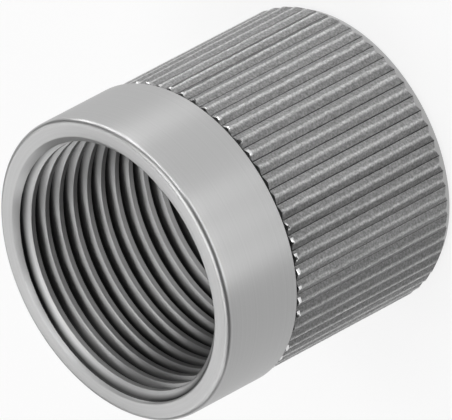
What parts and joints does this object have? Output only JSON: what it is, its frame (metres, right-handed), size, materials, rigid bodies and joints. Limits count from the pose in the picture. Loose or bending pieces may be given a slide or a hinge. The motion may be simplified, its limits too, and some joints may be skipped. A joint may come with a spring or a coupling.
{
  "type": "union nut",
  "caption": "Round union nut with a plain collar, a straight-knurled grip, a threaded mouth, an inner conical seat and a tube bore through its bevelled rear end.",
  "frame": {"origin": "centre of the flat rear face, on the nut's axis", "axes": "+Z along the nut's axis from the rear face to the threaded mouth; X and Y are free, as the nut is round"},
  "size_m": [0.025, 0.025, 0.0247],
  "materials": {
    "turned_steel": "satin turned steel, rolled knurl"
  },
  "bodies": {
    "root": {"union_nut": "turned_steel"}
  },
  "joints": []
}
